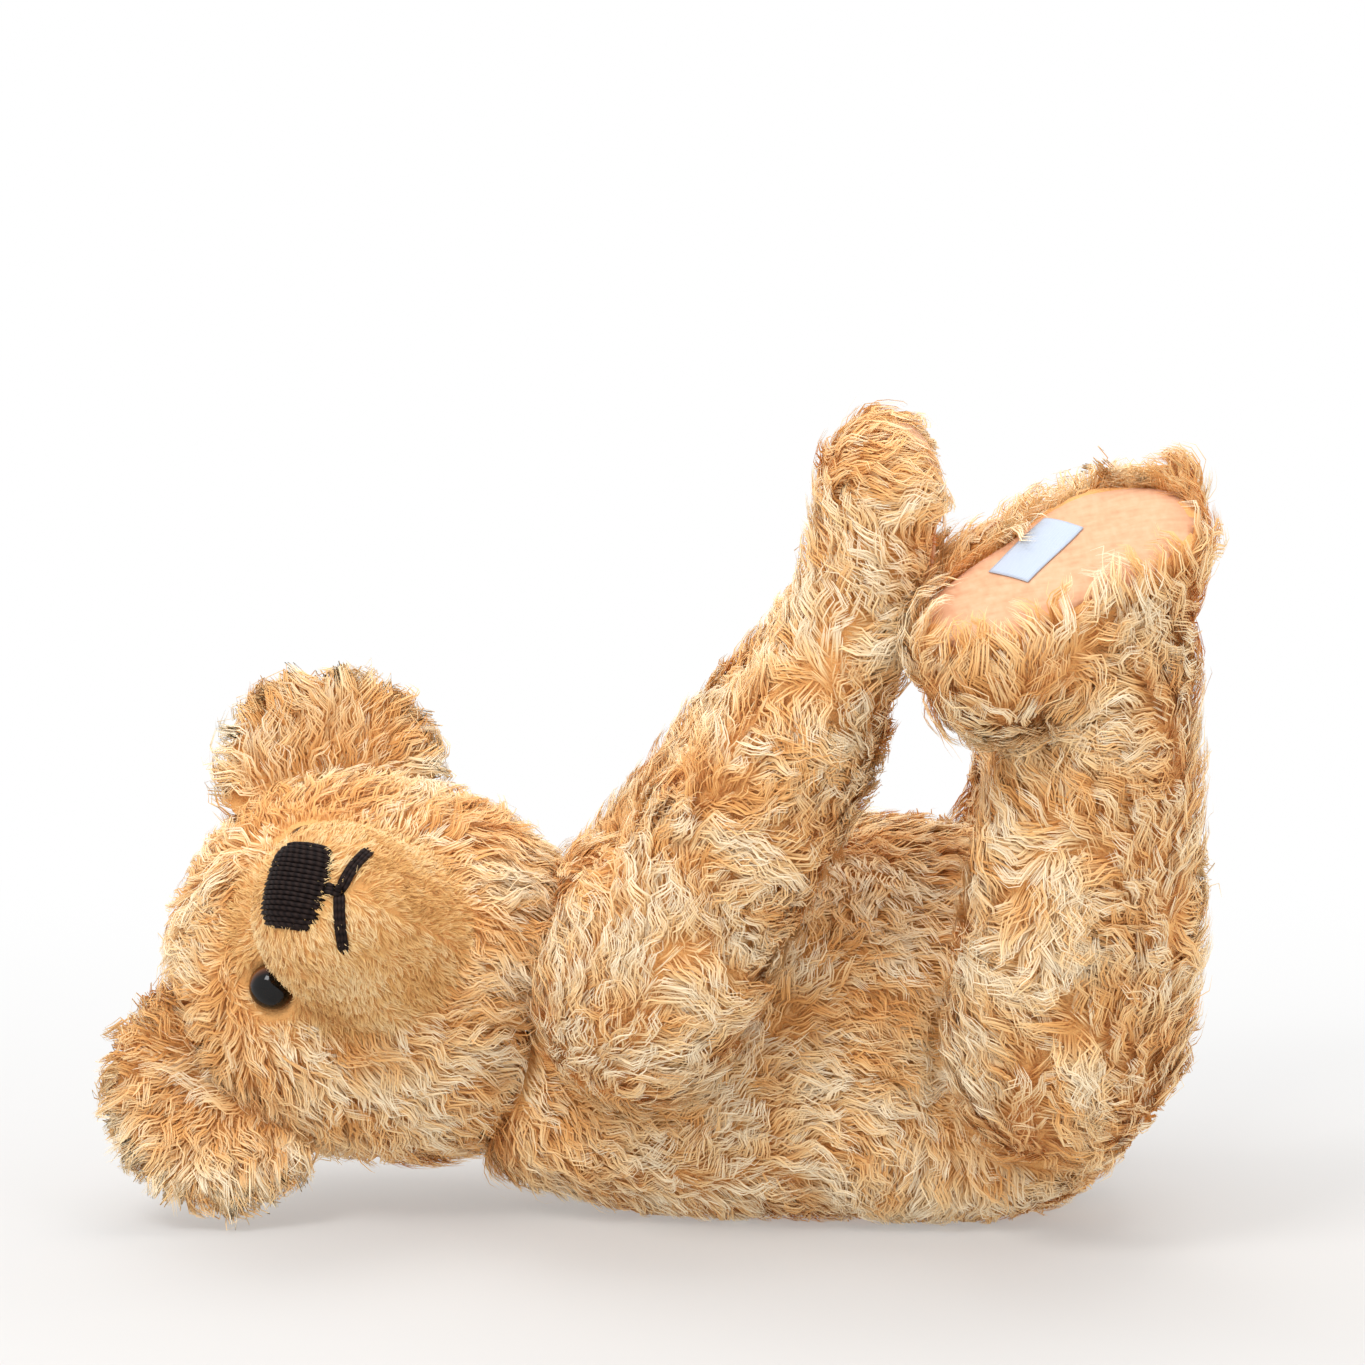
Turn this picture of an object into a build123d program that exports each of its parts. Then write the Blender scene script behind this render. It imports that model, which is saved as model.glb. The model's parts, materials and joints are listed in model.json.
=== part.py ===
from build123d import *
import math
import os

# Jointed teddy bear lying on its back, in millimetres.
# +X points to the feet, +Z to the belly side (up), -Y is the bear's right.
# The origin is the middle of the flat patch of the back that the bear rests on.
# Soft forms are closed lofts through ovals; a skin is the form less the same form drawn in.
# Limb frame: X along the limb, Y to its front, Z outwards from the turning face.
# Head frame: X to the crown, Y to the bear's right, Z to the face.

# Cloth and clearances
skin = 4.0               # mohair cloth with the dense foot of its pile
muzzle_skin = 3.0        # short-pile cloth
felt = 2.5               # paw and foot pads
card = 2.0               # insole card
thread = 1.6             # height of the stitched nose and mouth
joint_gap = 0.6          # between two skins that turn on each other
stuffing_gap = 0.05      # stuffing to its skin
pocket_gap = 0.2         # stuffing to the hard pieces in it

# Disc joints
disc_thickness = 3.0
shoulder_disc_radius = 13.0
hip_disc_radius = 13.0
neck_disc_radius = 22.0
bolt_radius = 3.0
bolt_clearance = 0.1
head_radius = 5.5
head_height = 3.5
head_play = 0.05         # bolt head to its washer
washer_radius = 9.0
washer_thickness = 1.0
nut_radius = 5.8
nut_height = 5.0
thread_end = 2.5         # bolt past its nut

# Torso
torso_length = 189.0
torso_width = 106.0
torso_depth = 114.0      # before the back is pressed flat
torso_axis_z = 50.0      # its axis above the surface it lies on
neck_lean = 14.0         # neck axis lifted from the spine
neck_share = 0.905       # places along the torso, from the seat
shoulder_share = 0.725
hip_from_seat = 14.5     # edge of the hip disc, along from the seat
shoulder_rise = 12.0     # above the torso's axis
shoulder_room = 6.0      # shoulder's face to the neck disc, which it passes
shoulder_taper = 10.0    # turning face leans towards the neck
hip_rise = 1.0
hip_inset = 9.4          # and the hip disc's own bulge
hip_taper = 8.0          # turning face leans towards the seat
hip_splay = 5.0          # and towards the back

# Head
head_height_all = 102.0
head_width = 103.0
head_depth = 96.0
head_turn = 67.5         # face turned from straight up to the bear's right
gusset_width = 34.0
muzzle_length = 70.0
muzzle_width = 56.0
muzzle_depth = 54.0
muzzle_lift = 26.0
nose_width = 22.0
nose_height = 16.0
mouth_reach = 15.0
mouth_line = 2.8
ear_radius = 31.5
ear_thickness = 13.0
ear_height = {"right": 78.0, "left": 70.5}     # the right ear is pushed up by the floor
ear_across = {"right": 46.5, "left": 47.5}
eye_radius = 6.4
eye_spacing = 42.0
eye_proud = 3.8
wire_radius = 0.5

# Arms
arm_length = 196.0       # whole length
arm_width = 52.0
arm_thickness = 42.0
paw_share = 0.68         # felt pad starts here

# Legs
leg_length = 147.0       # hip to sole
thigh_width = 61.0
leg_thickness = 48.0
foot_length = 78.0
foot_width = 49.0
foot_depth = 43.0
foot_sunk = 14.6          # middle of the foot's form under its sole
foot_lift = 26.0         # sole leans towards the toes
foot_turn = 22.0         # toes turned outwards
foot_roll = {"right": 14.0, "left": 0.0}     # sole leans outwards
leg_rest = {"right": 89.5, "left": 84.0}     # raised from lying straight
label_length = 25.0
label_width = 13.0
label_thickness = 0.5
label_turn = 14.0        # label skewed on the pad
label_along = 11.0       # its middle, to the toes
label_across = -6.5      # and to the inner edge of the sole

hand_gap = 12.0          # toe to the arm's middle line at rest
left_arm_lift = 0.5      # the left arm lies this much higher

far = 500.0              # larger than the bear
sides = {"right": -1.0, "left": 1.0}

# Places that follow from the sizes
seat_x = 0.534 * torso_length
hip_along = hip_from_seat + hip_disc_radius
shoulder_along = shoulder_share * torso_length
neck_point = Vector(seat_x - neck_share * torso_length, 0, torso_axis_z + 7.0)
neck_axis = Vector(-math.cos(math.radians(neck_lean)), 0, math.sin(math.radians(neck_lean)))
sole_middle = Vector(leg_length, 0, leg_thickness / 2)


# ---------- soft forms ----------

def soft(rows, inset=0.0):
    """Closed form through ovals: (along X, middle Y, middle Z, half Y, half Z)."""
    first, last = rows[0][0], rows[-1][0]
    shrink = (last - first - 2 * inset) / (last - first)
    ovals = []
    for along, middle_y, middle_z, half_y, half_z in rows:
        place = Vector(first + inset + (along - first) * shrink, middle_y, middle_z)
        plane = Plane(origin=place, x_dir=(0, 1, 0), z_dir=(1, 0, 0))
        drawn_y = max(half_y - inset, 0.4 * half_y)
        drawn_z = max(half_z - inset, 0.4 * half_z)
        ovals.append(plane * Ellipse(drawn_y, drawn_z))
    return loft(ovals)


def under(plane, level=0.0):
    """Everything on the inner side of a plane, up to a level along its normal."""
    return plane.location * Pos(0, 0, level - far / 2) * Box(far, far, far)


def above(plane, level=0.0):
    return plane.location * Pos(0, 0, level + far / 2) * Box(far, far, far)


def torso_rows():
    half_y, half_z = torso_width / 2, torso_depth / 2
    shares = [
        (1.000, 0.020, 0.50, 0.54), (0.958, 0.012, 0.67, 0.71), (0.862, 0.018, 0.81, 0.825),
        (0.725, -0.005, 0.90, 0.912), (0.534, 0.0, 0.97, 0.965), (0.349, 0.0, 1.0, 1.0),
        (0.206, -0.018, 0.99, 0.921), (0.100, -0.031, 0.90, 0.754), (0.032, -0.035, 0.64, 0.491),
        (0.0, -0.035, 0.27, 0.193),
    ]
    rows = []
    for along, rise, wide, deep in shares:
        rows.append((seat_x - along * torso_length, 0, torso_axis_z + rise * torso_depth,
                     wide * half_y, deep * half_z))
    return rows


def head_rows():
    half_y, half_z = head_width / 2, head_depth / 2
    shares = [
        (-0.02, 0.62, 0.61), (0.08, 0.84, 0.84), (0.24, 0.955, 0.97), (0.46, 1.0, 1.0),
        (0.69, 0.913, 0.906), (0.86, 0.68, 0.677), (0.95, 0.408, 0.406), (0.99, 0.155, 0.156),
    ]
    return [(h * head_height_all, 0, 0, wide * half_y, deep * half_z) for h, wide, deep in shares]


def muzzle_rows(grow=0.0):
    half_y, half_z = muzzle_width / 2, muzzle_depth / 2
    shares = [
        (0.0, 1.0, 1.0), (0.36, 0.95, 0.95), (0.64, 0.87, 0.85), (0.84, 0.74, 0.70),
        (0.955, 0.50, 0.47), (1.0, 0.20, 0.19),
    ]
    reach = muzzle_length + grow
    return [(along * reach, 0, 0, wide * half_y + grow, deep * half_z + grow)
            for along, wide, deep in shares]


def arm_rows():
    half_y, half_z = arm_width / 2, arm_thickness / 2
    shares = [
        (0.0, 0.05, 0.52, 0.33, 0.42), (0.035, 0.05, 0.60, 0.72, 0.76), (0.115, 0.05, 0.70, 1.0, 1.0),
        (0.30, 0.0, 0.78, 0.98, 1.0), (0.495, -0.11, 0.86, 0.87, 0.92), (0.654, -0.18, 0.88, 0.68, 0.82),
        (0.775, -0.17, 0.90, 0.60, 0.76), (0.89, -0.07, 0.90, 0.64, 0.78), (0.965, 0.03, 0.90, 0.53, 0.62),
        (1.0, 0.07, 0.90, 0.24, 0.30),
    ]
    start = -0.115 * arm_length
    return [(start + along * arm_length, front * arm_width, out * half_z, wide * half_y, thick * half_z)
            for along, front, out, wide, thick in shares]


def leg_rows():
    half_y, half_z = thigh_width / 2, leg_thickness / 2
    shares = [
        (-0.16, 0.0, 0.50, 0.30, 0.36), (-0.115, 0.0, 0.57, 0.71, 0.68), (0.014, -0.015, 0.68, 0.97, 0.94),
        (0.196, -0.03, 0.84, 1.0, 1.0), (0.406, -0.06, 0.96, 0.91, 0.98), (0.615, -0.09, 0.98, 0.78, 0.92),
        (0.804, -0.095, 0.98, 0.75, 0.90), (1.10, -0.085, 0.98, 0.68, 0.80),
    ]
    return [(along * leg_length, front * thigh_width, out * half_z, wide * half_y, thick * half_z)
            for along, front, out, wide, thick in shares]


def foot_rows():
    half_y = foot_width / 2
    shares = [
        (-0.265, 0.35, 0.30), (-0.225, 0.62, 0.60), (-0.085, 0.88, 1.0), (0.12, 0.96, 1.05),
        (0.35, 1.0, 1.0), (0.53, 0.92, 0.90), (0.65, 0.68, 0.68), (0.70, 0.34, 0.34),
    ]
    return [(along * foot_length, 0, -foot_sunk, wide * half_y, deep * foot_depth / 2)
            for along, wide, deep in shares]


# ---------- frames ----------

def turning_plane(origin, outward, angle, side):
    """Joint frame: Z outwards, X along the limb, which is raised by angle from the feet."""
    outward = outward.normalized()
    flat = (Vector(1, 0, 0) - outward * outward.X).normalized()
    lifted = outward.cross(flat) * -sides[side]
    turn = math.radians(angle)
    return Plane(origin=origin, x_dir=flat * math.cos(turn) + lifted * math.sin(turn), z_dir=outward)


def shoulder_plane(side, angle):
    taper = math.radians(shoulder_taper)
    outward = Vector(-math.sin(taper), sides[side] * math.cos(taper), 0)
    to_neck = (neck_share - shoulder_share) * torso_length
    half = neck_disc_radius + skin + shoulder_room + to_neck * math.tan(taper)
    place = Vector(seat_x - shoulder_along, sides[side] * half, torso_axis_z + shoulder_rise)
    return turning_plane(place, outward, angle, side)


def hip_plane(side, angle):
    taper, splay = math.radians(hip_taper), math.radians(hip_splay)
    outward = Vector(math.sin(taper), sides[side] * math.cos(taper), -math.sin(splay))
    half = torso_width / 2 - hip_inset - hip_disc_radius ** 2 / torso_width
    place = Vector(seat_x - hip_along, sides[side] * half, torso_axis_z + hip_rise)
    return turning_plane(place, outward, angle, side)


def sole_plane(side):
    """In the limb frame: X to the toes in the sole, Z out of the sole."""
    lift, turn = math.radians(foot_lift), math.radians(foot_turn)
    toes = Vector(0, math.cos(turn), math.sin(turn))
    along = Vector(-math.sin(lift), 0, 0) + toes * math.cos(lift)
    out = Vector(math.cos(lift), 0, 0) + toes * math.sin(lift)
    roll = math.radians(foot_roll[side])
    out = out * math.cos(roll) + along.cross(out) * -math.sin(roll)
    return Plane(origin=sole_middle, x_dir=along, z_dir=out)


def muzzle_plane():
    """In the head frame: X along the muzzle, Y to the bear's right, Z to the chin."""
    lift = math.radians(muzzle_lift)
    root = Vector(0.37 * head_height_all, 0, 0.19 * head_depth)
    return Plane(origin=root, x_dir=(math.sin(lift), 0, math.cos(lift)),
                 z_dir=(-math.cos(lift), 0, math.sin(lift)))


def face_plane():
    """The head's frame in the bear's."""
    lean, turn = math.radians(neck_lean), math.radians(head_turn)
    up = Vector(math.sin(lean), 0, math.cos(lean))
    face = up * math.cos(turn) + Vector(0, -1, 0) * math.sin(turn)
    return Plane(origin=neck_point, x_dir=neck_axis, z_dir=face)


def neck_plane():
    return Plane(origin=neck_point, x_dir=(0, 1, 0), z_dir=neck_axis)


def arm_angle(side):
    """The arm leans until it is hand_gap short of the toes, at their height."""
    leg = math.radians(leg_rest[side])
    toe_along = leg_length - 0.36 * foot_length * math.tan(math.radians(foot_lift))
    toe_front = 0.57 * foot_length
    toe_x = -hip_along + toe_along * math.cos(leg) - toe_front * math.sin(leg)
    toe_z = hip_rise + toe_along * math.sin(leg) + toe_front * math.cos(leg)
    reach = toe_x - hand_gap + shoulder_along
    lift = left_arm_lift if side == "left" else 0.0
    return math.degrees(math.atan2(toe_z - shoulder_rise, reach)) + lift


# ---------- disc joints ----------

def plate(radius, low, high, bore=0.0):
    ring = Pos(0, 0, (low + high) / 2) * Cylinder(radius, high - low)
    if bore:
        ring -= Pos(0, 0, (low + high) / 2) * Cylinder(bore, high - low + 2)
    return ring


def stack():
    """Levels along a joint's axis, measured outwards from the torso's turning face."""
    limb_disc = joint_gap / 2 + skin + stuffing_gap
    limb_washer = limb_disc + disc_thickness
    bolt_head = limb_washer + washer_thickness + head_play
    torso_disc = -(joint_gap / 2 + skin + stuffing_gap)
    torso_washer = torso_disc - disc_thickness
    nut = torso_washer - washer_thickness
    end = nut - nut_height - thread_end
    return limb_disc, limb_washer, bolt_head, torso_disc, torso_washer, nut, end


bore = bolt_radius + bolt_clearance


def limb_disc(radius):
    low = stack()[0]
    return plate(radius, low, low + disc_thickness, bore)


def limb_washer():
    low = stack()[1]
    return plate(washer_radius, low, low + washer_thickness, bore)


def torso_disc(radius):
    high = stack()[3]
    return plate(radius, high - disc_thickness, high, bore)


def torso_washer():
    high = stack()[4]
    return plate(washer_radius, high - washer_thickness, high, bore)


def bolt():
    head, end = stack()[2], stack()[6]
    shape = plate(bolt_radius, end, head + head_height / 2)
    pan = fillet(plate(head_radius, head, head + head_height).edges().group_by(Axis.Z)[-1], 1.5)
    return shape + pan


def nut():
    high = stack()[5]
    hexagon = extrude(RegularPolygon(nut_radius, 6), nut_height)
    return Pos(0, 0, high - nut_height) * (hexagon - plate(bolt_radius, -1, nut_height + 1))


def limb_pocket(radius):
    disc_low, washer_low, head = stack()[0], stack()[1], stack()[2]
    return (plate(radius + pocket_gap, 0, washer_low)
            + plate(washer_radius + pocket_gap, disc_low, head + head_height + pocket_gap))


def torso_pocket(radius):
    washer_high, end = stack()[4], stack()[6]
    return (plate(radius + pocket_gap, washer_high, 0)
            + plate(washer_radius + pocket_gap, end - pocket_gap, 0))


bolt_hole = plate(bore, -far / 20, far / 20)


# ---------- torso ----------

def joints_on_torso():
    planes = [neck_plane()]
    for side in sides:
        planes.append(shoulder_plane(side, 90))
        planes.append(hip_plane(side, 90))
    return planes


joint_radii = [neck_disc_radius] + 2 * [shoulder_disc_radius, hip_disc_radius]


def torso_form(inset):
    form = soft(torso_rows(), inset)
    for plane in joints_on_torso():
        form &= under(plane, -joint_gap / 2 - inset)
    return form & above(Plane.XY, inset)


def right_left(side):
    """Half of space on one side of the bear."""
    return Pos(0, sides[side] * far / 2, 0) * Box(far, far, far)


def save(name, shape):
    solids = shape.solids()
    whole = solids[0] if len(solids) == 1 else Compound(children=list(solids))
    export_step(whole, f"parts/{name}.step")
    print(name, len(solids), round(sum(solid.volume for solid in solids)))


def make_torso():
    shell = torso_form(0.0) - torso_form(skin)
    for plane in joints_on_torso():
        shell -= plane.location * bolt_hole
    side_seam = Plane(origin=(0, 0, torso_axis_z), z_dir=(0, 0, 1))
    for side in sides:
        half = shell & right_left(side)
        save(f"torso_front_{side}", half & above(side_seam))
        save(f"torso_back_{side}", half & under(side_seam))
    filling = torso_form(skin + stuffing_gap)
    for plane, radius in zip(joints_on_torso(), joint_radii):
        filling -= plane.location * torso_pocket(radius)
    save("torso_stuffing", filling)


def make_joint_hardware():
    planes = joints_on_torso()
    save("neck_torso_disc", planes[0].location * torso_disc(neck_disc_radius))
    shoulders = [plane.location * torso_disc(shoulder_disc_radius) for plane in planes[1::2]]
    hips = [plane.location * torso_disc(hip_disc_radius) for plane in planes[2::2]]
    save("shoulder_torso_discs", Compound(children=shoulders))
    save("hip_torso_discs", Compound(children=hips))
    save("joint_bolts", Compound(children=[plane.location * bolt() for plane in planes]))
    save("joint_torso_washers", Compound(children=[plane.location * torso_washer() for plane in planes]))
    save("joint_lock_nuts", Compound(children=[plane.location * nut() for plane in planes]))


# ---------- head ----------

def head_form(inset):
    return soft(head_rows(), inset) & above(Plane.YZ, joint_gap / 2 + inset)


def muzzle_form(inset=0.0, grow=0.0):
    return muzzle_plane().location * soft(muzzle_rows(grow), inset)


def put_head(name, shape):
    save(name, face_plane().location * shape)


def neck_joint(shape):
    """From a joint frame to the head frame, where the crown is X."""
    return Plane(origin=(0, 0, 0), x_dir=(0, 1, 0), z_dir=(1, 0, 0)).location * shape


def gusset_strip():
    strip = Box(far, gusset_width, far)
    under_chin = Pos(-far / 2 + 0.5 * head_height_all, 0, far / 2) * Box(far, gusset_width + 1, far)
    return strip - under_chin


def make_head_skin():
    shell = head_form(0.0) - head_form(skin) - muzzle_form(muzzle_skin) - neck_joint(bolt_hole)
    sockets = [eye_place(side) * Sphere(eye_radius + stuffing_gap) for side in sides]
    shell -= sockets
    strip = gusset_strip()
    put_head("head_gusset", shell & strip)
    panels = shell - strip
    muzzle = muzzle_form() - muzzle_form(muzzle_skin) - head_form(0.0) - sockets
    for side in sides:
        half = Pos(0, -sides[side] * far / 2, 0) * Box(far, far, far)
        put_head(f"head_side_{side}", panels & half)
        put_head(f"muzzle_{side}", muzzle & half)
    filling = head_form(skin + stuffing_gap) + muzzle_form(muzzle_skin + stuffing_gap)
    filling -= neck_joint(limb_pocket(neck_disc_radius))
    filling -= sockets
    for side in sides:
        filling -= eye_place(side) * eye_loop(pocket_gap)
    put_head("head_stuffing", filling)


def eye_place(side):
    """Eye frame on the face, sunk to leave the glass eye_proud of the cloth."""
    height, across = 0.69 * head_height_all, eye_spacing / 2
    half_y, half_z = 0.913 * head_width / 2, 0.906 * head_depth / 2
    surface = half_z * math.sqrt(1 - (across / half_y) ** 2)
    turn = math.degrees(math.atan2(across * half_z, half_y * math.sqrt(half_y ** 2 - across ** 2)))
    place = Pos(height, -sides[side] * across, surface)
    return place * Rot(sides[side] * turn, 0, 0) * Pos(0, 0, eye_proud - eye_radius)


def eye_loop(grow=0.0):
    """Wire ring behind the glass, that the eye is sewn in by."""
    ring = 2.4
    return Pos(0, 0, -eye_radius - ring - wire_radius) * Rot(90, 0, 0) * Torus(ring, wire_radius + grow)


def make_eyes():
    loops = []
    for side in sides:
        put_head(f"eye_{side}", eye_place(side) * Sphere(eye_radius))
        loops.append(eye_place(side) * eye_loop())
    put_head("eye_wire_loops", Compound(children=loops))


def make_stitching():
    grown = muzzle_form(grow=thread) - muzzle_form()
    place = muzzle_plane().location
    nose = Pos(muzzle_length, 0, -0.32 * nose_height) * Box(0.62 * muzzle_length, nose_width, nose_height)
    nose = fillet(nose.edges().filter_by(Axis.X), 0.3 * nose_height)
    put_head("nose_stitching", grown & (place * nose))
    mouth = Pos(muzzle_length, 0, 0.47 * nose_height) * Box(muzzle_length, mouth_line, 0.5 * nose_height)
    fork = 0.55 * nose_height
    for side in sides.values():
        stroke = Pos(0, side * mouth_reach / 2, 0) * Box(muzzle_length, mouth_reach, mouth_line)
        mouth += Pos(muzzle_length, 0, fork) * Rot(side * 26, 0, 0) * stroke
    mouth = mouth & above(Plane.XY, 0.18 * nose_height + 0.3)
    put_head("mouth_stitching", grown & (place * mouth) - place * nose)


def ear_form():
    """A round lens, its rows along X and its axis to the face."""
    half = ear_thickness / 2
    rows = []
    for turn in range(-88, 89, 22):
        high, wide = math.sin(math.radians(turn)), math.cos(math.radians(turn))
        rows.append((ear_radius * high, 0, 0, ear_radius * wide, half * wide))
    return soft(rows)


def make_ears():
    forward = 0.08 * head_depth
    for side in sides:
        across = -sides[side] * ear_across[side]
        ear = Pos(ear_height[side], across, forward) * ear_form() - head_form(0.0)
        middle = Plane(origin=(0, 0, forward), z_dir=(0, 0, 1))
        put_head(f"ear_{side}_front", ear & above(middle))
        put_head(f"ear_{side}_back", ear & under(middle))


def make_head():
    make_head_skin()
    make_eyes()
    make_stitching()
    make_ears()
    put_head("neck_head_disc", neck_joint(limb_disc(neck_disc_radius)))
    put_head("neck_head_washer", neck_joint(limb_washer()))


# ---------- arms and legs ----------

def limb_side(shape, side):
    """Limbs are built for the right; the left ones are mirrored."""
    return mirror(shape, about=Plane.XZ) if side == "left" else shape


def arm_form(inset):
    return soft(arm_rows(), inset) & above(Plane.XY, joint_gap / 2 + inset)


def make_arm(side):
    place = shoulder_plane(side, arm_angle(side)).location
    shell = arm_form(0.0) - arm_form(skin) - bolt_hole
    seam = Plane(origin=(0, 0, 0.475 * arm_thickness), z_dir=(0, 0, 1))
    wrist = Plane(origin=((paw_share - 0.115) * arm_length, 0, 0), x_dir=(0, 1, 0), z_dir=(1, 0, 0))
    inner = shell & under(seam)
    filling = arm_form(skin + stuffing_gap) - limb_pocket(shoulder_disc_radius)
    pieces = {
        "arm_outer": shell & above(seam),
        "arm_inner": inner & under(wrist),
        "paw_pad": inner & above(wrist),
        "arm_stuffing": filling,
        "arm_disc": limb_disc(shoulder_disc_radius),
        "arm_washer": limb_washer(),
    }
    for name, piece in pieces.items():
        save(f"{side}_{name}", place * limb_side(piece, side))


def leg_form(side, inset, closed=True):
    foot = sole_plane(side).location * soft(foot_rows(), inset)
    form = (soft(leg_rows(), inset) + foot) & above(Plane.XY, joint_gap / 2 + inset)
    return form & under(sole_plane(side)) if closed else form


def make_leg(side):
    place = hip_plane(side, leg_rest[side]).location
    sole = sole_plane(side)
    hollow = leg_form(side, skin, closed=False)
    shell = leg_form(side, 0.0) - hollow - bolt_hole
    seam = Plane(origin=(0, 0, leg_thickness / 2), z_dir=(0, 0, 1))
    lining = leg_form(side, skin + stuffing_gap, closed=False)
    filling = lining & under(sole, -felt - card)
    filling -= limb_pocket(hip_disc_radius)
    pieces = {
        "leg_outer": shell & above(seam),
        "leg_inner": shell & under(seam),
        "foot_pad": hollow & slab(sole, -felt, 0),
        "insole_card": lining & slab(sole, -felt - card, -felt),
        "leg_stuffing": filling,
        "leg_disc": limb_disc(hip_disc_radius),
        "leg_washer": limb_washer(),
    }
    for name, piece in pieces.items():
        save(f"{side}_{name}", place * limb_side(piece, side))


def slab(plane, low, high):
    return under(plane, high) & above(plane, low)


def make_label():
    """Blank woven label, sewn flat on the right sole."""
    tag = Box(label_length, label_width, label_thickness)
    tag = Pos(label_along, label_across, label_thickness / 2) * Rot(0, 0, label_turn) * tag
    place = hip_plane("right", leg_rest["right"]).location
    save("foot_label", place * sole_plane("right").location * tag)


os.makedirs("parts", exist_ok=True)
make_torso()
make_joint_hardware()
make_head()
for limb in sides:
    make_arm(limb)
    make_leg(limb)
make_label()
print("arm angles", arm_angle("right"), arm_angle("left"))
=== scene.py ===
import bpy
import bmesh
import json
import math
import numpy as np
from mathutils import Vector, Matrix
from mathutils.bvhtree import BVHTree
from mathutils.kdtree import KDTree


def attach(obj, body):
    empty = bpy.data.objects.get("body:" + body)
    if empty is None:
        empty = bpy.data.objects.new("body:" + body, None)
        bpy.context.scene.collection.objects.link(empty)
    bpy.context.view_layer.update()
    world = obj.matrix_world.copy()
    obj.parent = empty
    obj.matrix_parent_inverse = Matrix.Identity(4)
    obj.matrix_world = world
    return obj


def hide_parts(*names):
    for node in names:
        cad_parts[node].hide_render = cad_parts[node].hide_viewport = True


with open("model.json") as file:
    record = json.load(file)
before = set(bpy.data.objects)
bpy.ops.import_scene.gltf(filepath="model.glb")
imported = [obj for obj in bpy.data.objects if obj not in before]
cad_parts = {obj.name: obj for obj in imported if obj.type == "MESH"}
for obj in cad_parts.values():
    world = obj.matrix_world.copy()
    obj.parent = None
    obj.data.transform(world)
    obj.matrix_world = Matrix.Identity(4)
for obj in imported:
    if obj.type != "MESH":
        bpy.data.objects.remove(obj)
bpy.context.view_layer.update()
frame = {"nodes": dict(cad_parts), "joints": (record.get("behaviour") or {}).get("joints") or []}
nodes = frame["nodes"]
mm = 0.001
sides = ("right", "left")
print("frame loaded:", len(nodes), "nodes")


def unit(rows):                   # this and the next few work on rows of points
    return rows / np.maximum(np.linalg.norm(rows, axis=-1, keepdims=True), 1e-12)


def dot(a, b):
    return (a * b).sum(-1, keepdims=True)


def flatTo(rows, normals):
    return rows - normals * dot(rows, normals)


def nodePoints(name):
    return np.array([v.co for v in nodes[name].data.vertices], float)


def ease(value, low, high):
    t = np.clip((value - low) / (high - low), 0, 1)
    return t * t * (3 - 2 * t)


swirlLook = {"waves": 9, "pace": (0.6, 1.6), "calm": 2.1, "driftGain": 1.5}


def swirl(points, size, seed):   # smooth vectors that wander over a distance of about size
    rng = np.random.default_rng(seed)
    total = np.zeros_like(points)
    for _ in range(swirlLook["waves"]):
        wave = unit(rng.normal(size=3)) * 2 * math.pi / size * rng.uniform(*swirlLook["pace"])
        total += np.sin(points @ wave + rng.uniform(0, 6.28))[:, None] * unit(rng.normal(size=3))
    return total / swirlLook["calm"]


def drift(points, size, seed):   # the same as one number, about -1 to 1
    return swirl(points, size, seed)[:, 0] * swirlLook["driftGain"]


joints = {j["name"]: j for j in frame["joints"]}


class Place:                      # a point with three directions
    def __init__(self, origin, x, z):
        self.origin = np.array(origin, float)
        self.z = unit(np.array(z, float))
        self.x = unit(np.array(x, float) - self.z * np.dot(x, self.z))
        self.y = np.cross(self.z, self.x)

    def inside(self, points):     # row frame to this one
        away = np.asarray(points, float) - self.origin
        return np.stack([away @ self.x, away @ self.y, away @ self.z], -1)

    def outside(self, points):    # this one to the row frame
        points = np.asarray(points, float)
        return (self.origin + points[..., :1] * self.x + points[..., 1:2] * self.y
                + points[..., 2:3] * self.z)


def headPlace():                  # X crown, Y to the bear's right, Z face
    neck = joints["neck_turn"]
    crown = unit(np.array(neck["axis"]))
    right = nodePoints("eye_right").mean(0) - nodePoints("eye_left").mean(0)
    return Place(neck["pos_m"], crown, np.cross(crown, right))


def limbPlace(joint, side, end):  # X along the limb, Z outwards
    at = np.array(joints[joint]["pos_m"])
    outward = np.array(joints[joint]["axis"]) * (1 if side == "right" else -1)
    return Place(at, nodePoints(end).mean(0) - at, outward)


def padPlace(node, fromPoint):    # a flat pad: X its long way, Z out of it
    points = nodePoints(node)
    middle = points.mean(0)
    values, ways = np.linalg.eigh(np.cov((points - middle).T))
    out = ways[:, 0] * np.sign(np.dot(ways[:, 0], middle - fromPoint))
    place = Place(middle, ways[:, 2], out)
    place.origin = place.outside([0, 0, place.inside(points)[:, 2].max()])
    return place


head = headPlace()
arms = {s: limbPlace(s + "_shoulder_turn", s, s + "_paw_pad") for s in sides}
legs = {s: limbPlace(s + "_hip_turn", s, s + "_foot_pad") for s in sides}
soles = {s: padPlace(s + "_foot_pad", legs[s].origin) for s in sides}
eyes = {s: nodePoints("eye_" + s).mean(0) for s in sides}
for s in sides:
    if soles[s].x[0] > 0:         # the sole's long way points to the toes
        soles[s] = Place(soles[s].origin, -soles[s].x, soles[s].z)


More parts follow.
